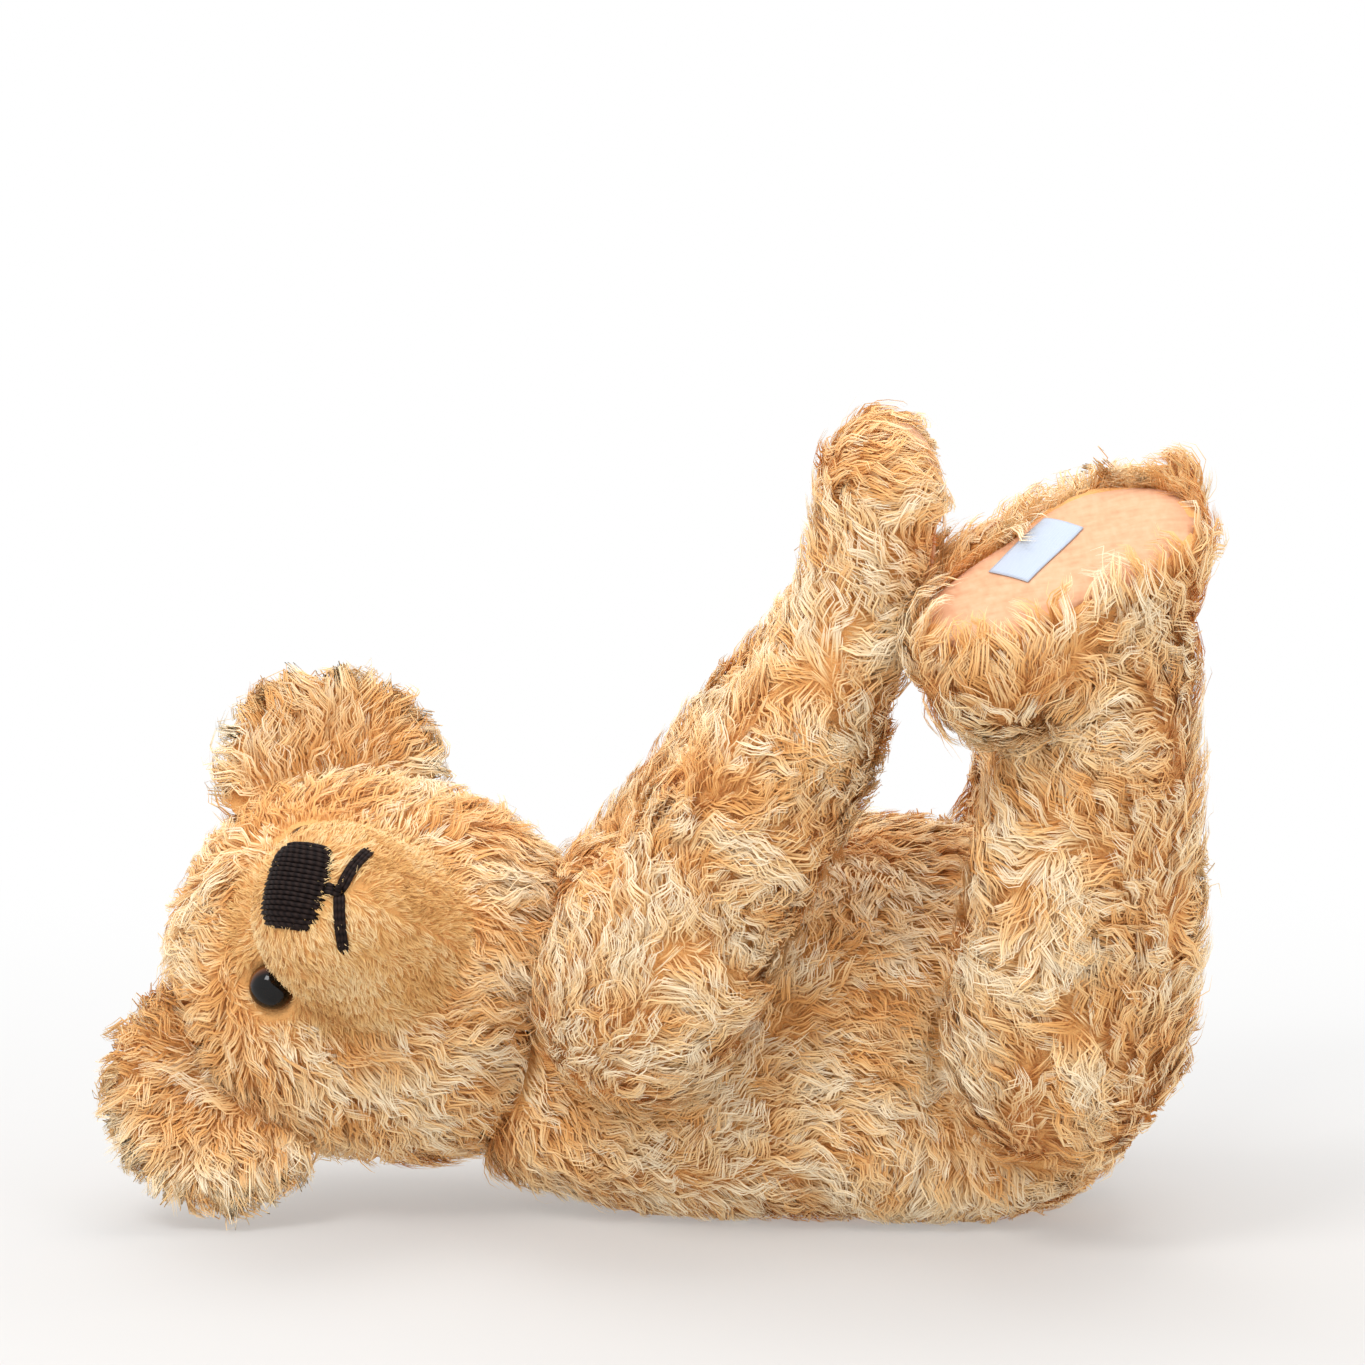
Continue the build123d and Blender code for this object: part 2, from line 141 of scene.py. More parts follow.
class Wire:                       # a value in the node tree that can be reckoned with
    def __init__(self, graph, socket):
        self.graph, self.socket = graph, socket

    def reckon(self, operation, first, second=None, clamp=False):
        values = {0: first} if second is None else {0: first, 1: second}
        node = self.graph.add("Math", {"operation": operation, "use_clamp": clamp}, values)
        return Wire(self.graph, node.outputs[0])

    def __add__(self, other): return self.reckon("ADD", self, other)
    def __radd__(self, other): return self.reckon("ADD", other, self)
    def __sub__(self, other): return self.reckon("SUBTRACT", self, other)
    def __rsub__(self, other): return self.reckon("SUBTRACT", other, self)
    def __mul__(self, other): return self.reckon("MULTIPLY", self, other)
    def __rmul__(self, other): return self.reckon("MULTIPLY", other, self)
    def __truediv__(self, other): return self.reckon("DIVIDE", self, other)
    def __rtruediv__(self, other): return self.reckon("DIVIDE", other, self)

    def clamped(self):
        return self.reckon("ADD", self, 0.0, clamp=True)

    def sine(self):
        return self.reckon("SINE", self)


class Graph:                      # one material and its nodes
    def __init__(self, name, **fixed):
        self.material = bpy.data.materials.new(name)
        self.material.use_nodes = True
        self.tree = self.material.node_tree
        self.tree.nodes.clear()
        self.shader = self.add("BsdfPrincipled", {}, fixed)
        self.add("OutputMaterial", {}, {"Surface": self.out(self.shader, "BSDF")})

    def add(self, kind, settings=None, values=None):
        node = self.tree.nodes.new("ShaderNode" + kind)
        for key, value in (settings or {}).items():
            if key == "stops":
                ramp = node.color_ramp
                while len(ramp.elements) < len(value):
                    ramp.elements.new(0.5)
                for element, (at, colour) in zip(ramp.elements, value):
                    element.position, element.color = at, (*colour, 1)
            else:
                setattr(node, key, value)
        for key, value in (values or {}).items():
            if isinstance(value, Wire):
                self.tree.links.new(value.socket, node.inputs[key])
            else:
                node.inputs[key].default_value = value
        return node

    def out(self, node, key=0):
        return Wire(self, node.outputs[key])

    def feed(self, **wires):      # baseColor=wire goes to Base Color
        for key, wire in wires.items():
            name = "Base Color" if key == "baseColor" else key.title()
            self.tree.links.new(wire.socket, self.shader.inputs[name])
        return self.material

    def ramp(self, wire, stops):
        return self.out(self.add("ValToRGB", {"stops": stops}, {0: wire}))

    def blend(self, factor, a, b):
        settings = {"data_type": "RGBA"}
        a = (*a, 1) if isinstance(a, tuple) and len(a) == 3 else a
        b = (*b, 1) if isinstance(b, tuple) and len(b) == 3 else b
        return self.out(self.add("Mix", settings, {0: factor, 6: a, 7: b}), 2)

    def local(self):
        return self.out(self.add("TexCoord"), "Object")

    def noise(self, scale, detail=2.0, stretch=(1, 1, 1)):
        at = self.out(self.add("Mapping", {}, {0: self.local(), "Scale": stretch}))
        return self.out(self.add("TexNoise", {}, {"Vector": at, "Scale": scale, "Detail": detail}))

    def bumped(self, height, strength, distance):
        made = self.add("Bump", {}, {"Strength": strength, "Distance": distance, "Height": height})
        return self.out(made)


mohairLook = {
    "deep": (0.68, 0.300, 0.080),       # down between the locks: painted shade at the hairs' roots; also the backing's darkest patches
    "brown": (0.83, 0.440, 0.150),
    "gold": (0.93, 0.650, 0.330),
    "cream": (0.97, 0.830, 0.600),      # the tips, a painted highlight
    "roughness": 0.6,
    "sheen": 0.12,
    "sheenTint": (1.0, 0.86, 0.62, 1),
    "toneShare": 0.60,                  # how much a hair's tone counts, with its lock's own tone and the painted light on the locks' wave crests
    "tipShare": 0.56,                   # how much paler a hair gets towards its tip: painted shade at the root, painted highlight at the tip
    "darker": 0.06,
    "patchScale": 90.0,
    "fineScale": 1400.0,
}


def strandMap(g):                 # across and along the strands, from their map
    split = g.add("SeparateXYZ", {}, {0: g.out(g.add("UVMap", {"uv_map": "OFBake"}))})
    return g.out(split, 0), g.out(split, 1)


def pileMaterial(name, look):
    g = Graph(name, **{"Roughness": look["roughness"], "Sheen Weight": look["sheen"],
                       "Sheen Tint": look["sheenTint"], "Sheen Roughness": 0.5,
                       "Specular IOR Level": 0.2})
    tone, along = strandMap(g)
    # darker at a hair's root and paler at its tip: painted shade down in the pile, painted
    # highlight on the tips
    place = (tone * look["toneShare"] + along * look["tipShare"] - look["darker"]).clamped()
    stops = [(0.0, look["deep"]), (0.30, look["brown"]), (0.60, look["gold"]),
             (0.92, look["cream"])]
    return g.feed(baseColor=g.ramp(place, stops))


def backingMaterial(name, look):
    g = Graph(name, **{"Roughness": 0.9, "Sheen Weight": look["sheen"],
                       "Sheen Tint": look["sheenTint"]})
    patch = g.noise(look["patchScale"], 3.0)
    fine = g.noise(look["fineScale"], 2.0)
    place = (patch * 0.55 + fine * 0.35 - 0.12).clamped()
    stops = [(0.0, look["deep"]), (0.42, look["brown"]), (0.8, look["gold"])]
    return g.feed(baseColor=g.ramp(place, stops), normal=g.bumped(fine, 0.6, 0.0008))


feltLook = {
    "low": (0.60, 0.285, 0.150),
    "mid": (0.74, 0.405, 0.235),
    "high": (0.84, 0.53, 0.34),
    "fibreScales": (520.0, 560.0),      # the fibres run two ways
    "patchScale": 60.0,
    "fibreDepth": 0.0006,
}


def feltMaterial(name, look):
    g = Graph(name, **{"Roughness": 0.92, "Sheen Weight": 0.12, "Sheen Tint": (1.0, 0.85, 0.7, 1)})
    fibreA = g.noise(look["fibreScales"][0], 3.0, (1, 0.12, 1))
    fibreB = g.noise(look["fibreScales"][1], 3.0, (0.14, 1, 1))
    fibre = fibreA * 0.5 + fibreB * 0.5
    patch = g.noise(look["patchScale"], 2.0)
    tone = (fibre * 1.5 + patch * 0.35 - 0.45).clamped()
    stops = [(0.0, look["low"]), (0.45, look["mid"]), (1.0, look["high"])]
    return g.feed(baseColor=g.ramp(tone, stops), normal=g.bumped(fibre, 0.5, look["fibreDepth"]))


# light is the thread's own dark brown on the ply crowns, dark is painted shade in the grooves
# between the plies
threadLook = {"dark": (0.006, 0.003, 0.003), "light": (0.022, 0.012, 0.010), "plies": 60.0}


def threadMaterial(name, look):
    g = Graph(name, **{"Roughness": 0.55, "Specular IOR Level": 0.12})
    across, along = strandMap(g)
    # the stripes darken where the bump dips: painted shade in the grooves between the plies
    ply = ((across * 6.283 + along * look["plies"]).sine() * 0.5 + 0.5).clamped()
    return g.feed(baseColor=g.blend(ply, look["dark"], look["light"]),
                  normal=g.bumped(ply, 0.5, 0.0003))


def plainMaterial(name, dark, light, roughness, scale=300.0, metallic=0.0, bump=0.2):
    g = Graph(name, **{"Metallic": metallic, "Specular IOR Level": 0.5})
    patch = g.noise(scale, 4.0)
    return g.feed(baseColor=g.blend(patch, dark, light), roughness=(patch * 0.2 + roughness - 0.1),
                  normal=g.bumped(patch, bump, 0.0003))


eyeLook = {
    "roughness": 0.04,
    "specular": 0.30,
    "rings": [(0.0, (0.03, 0.009, 0.003)), (0.30, (0.16, 0.05, 0.010)),
              (0.50, (0.04, 0.012, 0.003)), (0.62, (0.002, 0.0015, 0.0015))],
}


def eyeMaterial(name, side):      # dark glass with a thin amber rim near the cloth
    g = Graph(name, **{"Roughness": eyeLook["roughness"],
                       "Specular IOR Level": eyeLook["specular"]})
    centre = eyes[side]
    height, across, front = head.inside(centre)
    outward = head.outside([height, across * 1.3, front * 1.25]) - centre
    away = g.add("VectorMath", {"operation": "SUBTRACT"}, {0: g.local(), 1: tuple(centre)})
    turned = g.add("VectorMath", {"operation": "NORMALIZE"}, {0: g.out(away)})
    facing = g.add("VectorMath", {"operation": "DOT_PRODUCT"},
                   {0: g.out(turned), 1: tuple(unit(outward))})
    return g.feed(baseColor=g.ramp(g.out(facing, "Value"), eyeLook["rings"]))


mohairPile = pileMaterial("mohair_pile", mohairLook)
mohairBacking = backingMaterial("mohair_backing", mohairLook)
# the same painted shade at the roots and painted highlight at the tips, in the muzzle's colours
muzzleLook = dict(mohairLook, deep=(0.60, 0.30, 0.09), brown=(0.78, 0.44, 0.15),
                  gold=(0.88, 0.57, 0.24), cream=(0.93, 0.70, 0.38))
muzzlePile = pileMaterial("muzzle_pile", muzzleLook)
feltFinish = feltMaterial("peach_felt", feltLook)
noseFinish = threadMaterial("nose_thread", threadLook)
print("finishes made")


def placed(name, mesh, body):
    made = bpy.data.objects.new(name, mesh)
    bpy.context.scene.collection.objects.link(made)
    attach(made, body)
    return made


def meshObject(name, points, faces, material, body):
    mesh = bpy.data.meshes.new(name)
    mesh.from_pydata([tuple(p) for p in points], [], [tuple(int(i) for i in f) for f in faces])
    mesh.materials.append(material)
    mesh.shade_smooth()
    return placed(name, mesh, body)


def arrays(mesh):                 # points, triangles, vertex normals
    mesh.calc_loop_triangles()
    points = np.zeros(len(mesh.vertices) * 3, np.float32)
    mesh.vertices.foreach_get("co", points)
    triangles = np.zeros(len(mesh.loop_triangles) * 3, np.int32)
    mesh.loop_triangles.foreach_get("vertices", triangles)
    normals = np.zeros(len(mesh.vertices) * 3, np.float32)
    mesh.vertex_normals.foreach_get("vector", normals)
    points, normals = (rows.reshape(-1, 3).astype(float) for rows in (points, normals))
    return points, triangles.reshape(-1, 3), normals


def largestPart(bm):              # the outside of a remeshed solid, without its inner pockets
    left, best = set(bm.verts), []
    while left:
        stack, part = [next(iter(left))], []
        left.discard(stack[0])
        while stack:
            v = stack.pop()
            part.append(v)
            for e in v.link_edges:
                w = e.other_vert(v)
                if w in left:
                    left.discard(w)
                    stack.append(w)
        best = part if len(part) > len(best) else best
    keep = set(best)
    bmesh.ops.delete(bm, geom=[v for v in bm.verts if v not in keep], context="VERTS")


def relax(points, edges, rounds, share=0.5):
    count = np.zeros(len(points))
    np.add.at(count, edges[:, 0], 1)
    np.add.at(count, edges[:, 1], 1)
    for _ in range(rounds):
        total = np.zeros_like(points)
        np.add.at(total, edges[:, 0], points[edges[:, 1]])
        np.add.at(total, edges[:, 1], points[edges[:, 0]])
        points = points + share * (total / count[:, None] - points)
    return points


plugLook = {"radius": 0.006, "depth": 0.004, "inset": 0.0024}


def plug(bm, place, axis):        # fills a bolt's hole in the cloth
    turn = Vector(axis).to_track_quat("Z", "Y").to_matrix().to_4x4()
    middle = Vector(place) + Vector(axis) * plugLook["inset"]
    bmesh.ops.create_cone(bm, cap_ends=True, segments=16, radius1=plugLook["radius"],
                          radius2=plugLook["radius"], depth=plugLook["depth"],
                          matrix=Matrix.Translation(middle) @ turn)


def clothMesh(cadNodes, voxel, rounds, shrink, plugs=()):
    bm = bmesh.new()
    for name in cadNodes:
        bm.from_mesh(nodes[name].data)
    for place, axis in plugs:
        plug(bm, place, axis)
    rough = bpy.data.meshes.new("rough")
    bm.to_mesh(rough)
    bm.free()
    holder = bpy.data.objects.new("rough", rough)
    bpy.context.scene.collection.objects.link(holder)
    remesh = holder.modifiers.new("remesh", "REMESH")
    remesh.mode, remesh.voxel_size = "VOXEL", voxel
    graph = bpy.context.evaluated_depsgraph_get()
    made = bpy.data.meshes.new_from_object(holder.evaluated_get(graph))
    bpy.data.objects.remove(holder)
    bm = bmesh.new()
    bm.from_mesh(made)
    largestPart(bm)
    bm.to_mesh(made)
    bm.free()
    points, _, _ = arrays(made)
    edges = np.zeros(len(made.edges) * 2, np.int32)
    made.edges.foreach_get("vertices", edges)
    points = relax(points, edges.reshape(-1, 2), rounds)
    made.vertices.foreach_set("co", points.ravel())
    made.update()
    points, _, normals = arrays(made)
    made.vertices.foreach_set("co", (points - normals * shrink).ravel())
    made.update()
    return made


def clothPiece(name, mesh, body, replaced, material=mohairBacking):
    mesh.name = name
    mesh.materials.clear()
    mesh.materials.append(material)
    mesh.shade_smooth()
    made = placed(name, mesh, body)
    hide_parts(*replaced)
    return made


# how far a joint's turning face reaches from its axis, on the torso and on the other body
faceReach = {"neck": (0.035, 0.030), "arm": (0.025, 0.025), "leg": (0.032, 0.032)}
jointLines = {}                   # body: list of (point, direction out of that body, reach)
for j in frame["joints"]:
    at, axis = np.array(j["pos_m"]), np.array(j["axis"])
    child = j["child"]
    if child != "head":
        axis = axis * (1 if child.startswith("right") else -1)
    onTorso, onChild = faceReach["neck" if child == "head" else child.split("_")[1]]
    jointLines.setdefault("torso", []).append((at, axis, onTorso))
    jointLines.setdefault(child, []).append((at, -axis, onChild))


def plugsOf(body):
    return [(at, -direction) for at, direction, _ in jointLines[body]]


puffLook = {
    "pressure": 4.0,
    "frames": 20,
    "cap": 0.0022,                # how far a point may move
    "seamHold": 0.85,
    "seamWidth": 0.004,
    "faceMargin": 0.006,          # held round a joint's turning face
    "restHeight": 0.004,          # held where it lies on the table
    "soleDepth": 0.008,
    "featureReach": 0.016,        # held round the eyes and the nose
}


def puff(made, body, seams):      # stuffing pressure, held at the seams and at the joints' faces
    look, scene = puffLook, bpy.context.scene
    before, _, _ = arrays(made.data)
    hold = np.zeros(len(before))
    for at, way in seams:
        off = np.abs((before - at) @ way)
        hold = np.maximum(hold, look["seamHold"] * (1 - ease(off, 0, look["seamWidth"])))
    for at, direction, reach in jointLines[body]:
        across = np.linalg.norm(flatTo(before - at, direction[None, :]), axis=1)
        deep = np.abs((before - at) @ direction)
        near = (deep < look["faceMargin"]) & (across < reach + look["faceMargin"])
        hold[near] = 1.0
    hold[before[:, 2] < look["restHeight"]] = 1.0
    for s in soles:
        if body == s + "_leg":
            hold[soles[s].inside(before)[:, 2] > -look["soleDepth"]] = 1.0
    if body == "head":
        for spot in (eyes["right"], eyes["left"], nodePoints("nose_stitching").mean(0)):
            hold[np.linalg.norm(before - spot, axis=1) < look["featureReach"]] = 1.0
    group = made.vertex_groups.new(name="held")
    for i, weight in enumerate(hold):
        if weight > 0.01:
            group.add([i], float(weight), "REPLACE")
    cloth = made.modifiers.new("stuffing pressure", "CLOTH")
    cloth.settings.use_pressure = True
    cloth.settings.uniform_pressure_force = look["pressure"]
    cloth.settings.vertex_group_mass = "held"
    cloth.settings.effector_weights.gravity = 0
    cloth.point_cache.frame_start, cloth.point_cache.frame_end = 1, look["frames"]
    for step in range(1, look["frames"] + 1):
        scene.frame_set(step)
    solved = made.evaluated_get(bpy.context.evaluated_depsgraph_get())
    after = np.array([v.co for v in solved.to_mesh().vertices], float)
    solved.to_mesh_clear()
    scene.frame_set(1)
    made.modifiers.remove(cloth)
    made.vertex_groups.clear()
    moved = (after - before) * (1 - hold)[:, None]
    far = np.linalg.norm(moved, axis=1, keepdims=True)
    moved *= np.minimum(1, look["cap"] / np.maximum(far, 1e-9))
    edges = np.array([e.vertices[:] for e in made.data.edges])
    moved = relax(moved, edges, 3)
    made.data.vertices.foreach_set("co", (before + moved).ravel())
    made.data.update()
    most = float(np.linalg.norm(moved, axis=1).max()) / mm
    print(made.name, "puffed by up to mm:", round(most, 2))


clothLook = {
    "voxel": {"torso": 0.003, "head": 0.0024, "arm": 0.0026, "leg": 0.0026},
    "rounds": 5,
    "shrink": 0.0006,             # room left for the pile's foot
    "fill": 0.9,
    "sideSeam": 0.050,            # height of the torso's side seams
    "gussetHalf": 0.017,
    "limbSeam": {"arm": 0.020, "leg": 0.024},
}
cloths = {}


def seamsOf(body):                # planes that the seams run in
    if body == "torso":
        side = np.array([0, 0, clothLook["sideSeam"]])
        return [(np.zeros(3), np.array([0, 1.0, 0])), (side, np.array([0, 0, 1.0]))]
    if body == "head":
        half = clothLook["gussetHalf"]
        return [(head.outside([0, across, 0]), head.y) for across in (-half, half)]
    side, limb = body.split("_")
    place = (arms if limb == "arm" else legs)[side]
    return [(place.outside([0, 0, clothLook["limbSeam"][limb]]), place.z)]


def makeCloth(body, skins):
    look = clothLook
    mesh = clothMesh(skins + [body + "_stuffing"], look["voxel"][body.split("_")[-1]],
                     look["rounds"], look["shrink"], plugsOf(body))
    covered = [s for s in skins if not s.endswith("_pad")]
    cloths[body] = clothPiece(body + "_cloth", mesh, body, covered)
    puff(cloths[body], body, seamsOf(body))


earLook = {
    "cup": 0.0062,
    "rim": 0.0022,
    "voxel": 0.0022,
    "rounds": 4,
    "shrink": 0.0015,
    "fill": 0.6,
    "pileLength": 13.0,           # mm
    "pileLift": 5.6,              # mm
}


def cup(mesh, cadPoints):         # the ear's middle goes back and its rim forward
    points, _, _ = arrays(mesh)
    p, c = head.inside(points), head.inside(cadPoints)
    middle = (c.min(0) + c.max(0)) / 2
    half = np.ptp(c, axis=0).max() / 2
    away = np.linalg.norm((p - middle)[:, :2], axis=1) / half
    p[:, 2] += earLook["rim"] - (earLook["cup"] + earLook["rim"]) * np.clip(1 - away ** 2, 0, 1)
    mesh.vertices.foreach_set("co", head.outside(p).ravel())
    mesh.update()


makeCloth("torso", ["torso_front_right", "torso_front_left", "torso_back_right",
                    "torso_back_left"])
makeCloth("head", ["head_gusset", "head_side_right", "head_side_left", "muzzle_right",
                   "muzzle_left"])
for s in sides:
    makeCloth(s + "_arm", [s + "_arm_outer", s + "_arm_inner", s + "_paw_pad"])
    makeCloth(s + "_leg", [s + "_leg_outer", s + "_leg_inner", s + "_foot_pad"])
    earNodes = ["ear_" + s + "_front", "ear_" + s + "_back"]
    earMesh = clothMesh(earNodes, earLook["voxel"], earLook["rounds"], earLook["shrink"])
    cup(earMesh, nodePoints(earNodes[0]))
    cloths["ear_" + s] = clothPiece("ear_" + s, earMesh, "head", earNodes)
print("cloth made:", {k: len(v.data.polygons) for k, v in cloths.items()})


class Ground:                     # a cloth that pile grows on
    def __init__(self, made):
        self.points, self.triangles, self.normals = arrays(made.data)
        self.tree = BVHTree.FromPolygons([tuple(p) for p in self.points],
                                         [tuple(t) for t in self.triangles.tolist()])
        a, b, c = (self.points[self.triangles[:, i]] for i in range(3))
        self.area = np.linalg.norm(np.cross(b - a, c - a), axis=1) / 2

    def scatter(self, count, rng):
        pick = rng.choice(len(self.area), count, p=self.area / self.area.sum())
        u, v = rng.random(count), rng.random(count)
        u, v = np.where(u + v > 1, 1 - u, u), np.where(u + v > 1, 1 - v, v)
        weights = np.stack([1 - u - v, u, v], -1)[:, :, None]
        corners = self.triangles[pick]
        normals = unit((self.normals[corners] * weights).sum(1))
        return (self.points[corners] * weights).sum(1), normals

    def nearest(self, points):
        at, normal = np.empty_like(points), np.empty_like(points)
        for i, p in enumerate(points):
            hit = self.tree.find_nearest(Vector(p))
            at[i], normal[i] = hit[0], hit[1]
        return at, normal


# how hair keeps clear of a joint's face on each body: the clear ring's size as a share of the
# face's reach, the width over which the hair's limit rises outside it, and how steeply
clearLook = {"torso": (1.0, 0.006, 0.75), "head": (1.0, 0.005, 0.6), "limb": (2.2, np.inf, 0.2)}
faceGap = 0.0002
rootDepth = 0.0025                # no hair is rooted this near to a joint's face
tableGap = 0.0003


def fromAxis(points, at, direction):   # height over a joint's face, distance from its axis
    along = (points - at) @ direction
    return along, np.linalg.norm(points - at - along[:, None] * direction, axis=1)


def awayFromJoints(body, points):   # False on a joint's turning face
    keep = np.ones(len(points), bool)
    for at, direction, reach in jointLines[body]:
        along, across = fromAxis(points, at, direction)
        keep &= ~((along > -rootDepth) & (across < reach))
    return keep


def holdBack(body, points):       # no hair crosses a joint's face
    shape = points.shape
    points = points.reshape(-1, 3)
    ring, width, slope = clearLook.get(body, clearLook["limb"])
    for at, direction, reach in jointLines[body]:
        along, across = fromAxis(points, at, direction)
        limit = -faceGap + np.clip(across - ring * reach, 0, width) * slope
        over = np.clip(along - limit, 0, None)
        points = points - over[:, None] * direction
    points[:, 2] = np.maximum(points[:, 2], tableGap)
    return points.reshape(shape)


pileLook = {
    "density": 0.50,              # hairs to a square millimetre
    "lockSpacing": 4.2,           # mm between locks
    "length": 12.5,               # mm
    "width": 0.40,                # mm
    "lift": 4.8,                  # mm that a lock stands off the cloth
    "wavelength": 10.5,           # mm
    "bend": 0.78,                 # how far a wave turns, radians
    "gather": 0.68,               # how much hairs close up towards a lock's tip
    "segments": 5,
    "strays": 0.04,
    "lengths": (0.75, 1.2),       # how lengths vary from lock to lock
    "lifts": (0.75, 1.1),
    "widths": (0.7, 1.25),
    "twist": 0.20,
    "wander": 0.00013,
}
underLook = dict(pileLook, density=0.62, length=7.5, width=0.55, lift=2.6, bend=0.40,
                 gather=0.12, segments=2, strays=0.0)
mostTriangles = 195000            # in one piece of pile
pileCount = [0, 0]


def lockPaths(ground, roots, normals, flow, sizes, look, rng):
    segments = look["segments"]
    count = len(roots)
    length = look["length"] * mm * sizes * rng.uniform(*look["lengths"], count)
    twist = rng.normal(0, look["twist"], count)
    first = unit(flatTo(flow(roots), normals))
    wave = 2 * math.pi / (look["wavelength"] * mm)
    phase = (wave * (roots * first).sum(1) + 1.6 * drift(roots, 0.030, 11)   # runs on between locks
             + rng.uniform(-0.4, 0.4, count))
    rise = look["lift"] * mm * np.clip(sizes, 0.25, 1.2) * rng.uniform(*look["lifts"], count)
    at, normal = roots.copy(), normals.copy()
    rows = [at]
    for i in range(1, segments + 1):
        way = unit(flatTo(flow(at), normal))
        side = np.cross(normal, way)
        turn = twist + look["bend"] * np.sin(phase + wave * (i - 0.5) / segments * length)
        heading = way * np.cos(turn)[:, None] + side * np.sin(turn)[:, None]
        at, normal = ground.nearest(at + (length / segments)[:, None] * heading)
        beyond = dot(normal, normals) < -0.5        # it came out on the other side of a thin piece
        normal = unit(np.where(beyond, normals, normal))
        t = i / segments
        height = rise * (1.35 * t ** 0.7 - 0.35 * t ** 3) + 0.0004 * np.sin(phase * 1.7 + 5 * t)
        rows.append(at + normal * height[:, None])
    # the wave's sine at the root, used for painted light on the locks' crests
    return np.stack(rows, 1), np.sin(phase)


def ribbons(name, paths, normals, tones, width, material, body, rng):
    count, points = paths.shape[:2]
    tangents = unit(np.gradient(paths, axis=1))
    side = unit(np.cross(tangents, normals[:, None, :]))
    up = np.cross(side, tangents)
    roll = rng.uniform(-0.6, 0.6, count)[:, None, None]
    across = side * np.cos(roll) + up * np.sin(roll)
    along = np.linspace(0, 1, points)
    taper = np.interp(along, [0, 0.25, 0.7, 1.0], [0.75, 1.0, 0.85, 0.16])
    half = across * (taper[None, :, None] * width[:, None, None] / 2)
    left, right = paths - half, paths + half
    face = unit(np.cross(across, tangents))
    soft = face * np.sign(dot(face, normals[:, None, :]))
    perPiece = mostTriangles // (2 * (points - 1))
    for k, start in enumerate(range(0, count, perPiece)):
        part = slice(start, min(start + perPiece, count))
        n = part.stop - part.start
        verts = np.stack([left[part], right[part]], 2).reshape(-1, 3)
        base = (np.arange(n) * points * 2)[:, None] + (np.arange(points - 1) * 2)[None, :]
        quads = np.stack([base, base + 1, base + 3, base + 2], -1).reshape(-1, 4)
        mesh = bpy.data.meshes.new(f"{name}_{k + 1}")
        mesh.vertices.add(len(verts))
        mesh.vertices.foreach_set("co", verts.ravel())
        mesh.loops.add(quads.size)
        mesh.loops.foreach_set("vertex_index", quads.ravel().astype(np.int32))
        mesh.polygons.add(len(quads))
        mesh.polygons.foreach_set("loop_start", np.arange(len(quads), dtype=np.int32) * 4)
        mesh.update(calc_edges=True)
        u = np.stack([tones[part] - 0.004, tones[part] + 0.004], -1)
        uv = np.empty((n, points, 2, 2))
        uv[..., 0] = u[:, None, :]
        uv[..., 1] = (0.01 + 0.98 * along)[None, :, None]
        layer = mesh.uv_layers.new(name="OFBake")
        layer.data.foreach_set("uv", uv.reshape(-1, 2)[quads.ravel()].ravel().astype(np.float32))
        mesh.materials.append(material)
        mesh.shade_smooth()
        bend = np.repeat(soft[part][:, :, None, :], 2, 2).reshape(-1, 3)
        mesh.normals_split_custom_set_from_vertices(bend.astype(np.float32))
        placed(f"{name}_{k + 1}", mesh, body)
        pileCount[0] += n
        pileCount[1] += 2 * len(quads)


def growPile(name, made, body, flow, sizeOf, look, seed, material=mohairPile):
    rng = np.random.default_rng(seed)
    ground = Ground(made)
    area = ground.area.sum() * 1e6
    roots, normals = ground.scatter(int(area / look["lockSpacing"] ** 2), rng)
    keep = (sizeOf(roots) > 0.05) & awayFromJoints(body, roots)
    roots, normals = roots[keep], normals[keep]
    paths, crestLight = lockPaths(ground, roots, normals, flow, sizeOf(roots), look, rng)
    near = KDTree(len(roots))
    for i, p in enumerate(roots + normals * 0.004):
        near.insert(Vector(p), i)
    near.balance()
    hairs, hairNormals = ground.scatter(int(area * look["density"]), rng)
    keep = (sizeOf(hairs) > 0.05) & awayFromJoints(body, hairs)
    keep &= (hairs[:, 2] > 0.0012) | (hairNormals[:, 2] > -0.8)
    hairs, hairNormals = hairs[keep], hairNormals[keep]
    lock = np.array([near.find(Vector(p))[1] for p in hairs + hairNormals * 0.004])
    shape = paths[lock] - paths[lock][:, :1]
    count, points = len(hairs), look["segments"] + 1
    t = np.linspace(0, 1, points)[None, :, None]
    stray = rng.random(count) < look["strays"]
    reach = (rng.uniform(0.88, 1.08, count) * np.where(stray, 1.15, 1.0))[:, None, None]
    gather = look["gather"] * rng.uniform(0.6, 1.1, count) * np.where(stray, 0.2, 1.0)
    toLock = (roots[lock] - hairs)[:, None, :]
    wander = np.cumsum(rng.normal(0, look["wander"], (count, points, 3)), 1)
    wander *= np.where(stray, 3.0, 1.0)[:, None, None]
    wander -= wander[:, :1]
    drawn = toLock * gather[:, None, None] * t ** 1.2
    hairPaths = holdBack(body, hairs[:, None, :] + shape * reach + drawn + wander)
    patch = 0.5 + 0.25 * drift(hairs, 0.026, 5) + 0.16 * drift(hairs, 0.009, 6)
    # random tone per lock, plus painted light on the wave crests and painted shade in the troughs
    lockToneAndLight = (rng.normal(0, 0.10, len(roots)) + 0.12 * crestLight)[lock]
    tones = np.clip(patch + lockToneAndLight + rng.normal(0, 0.035, count), 0.03, 0.97)
    width = look["width"] * mm * rng.uniform(*look["widths"], count)
    ribbons(name, hairPaths, hairNormals, tones, width, material, body, rng)
    print(name, "locks", len(roots), "hairs", count)


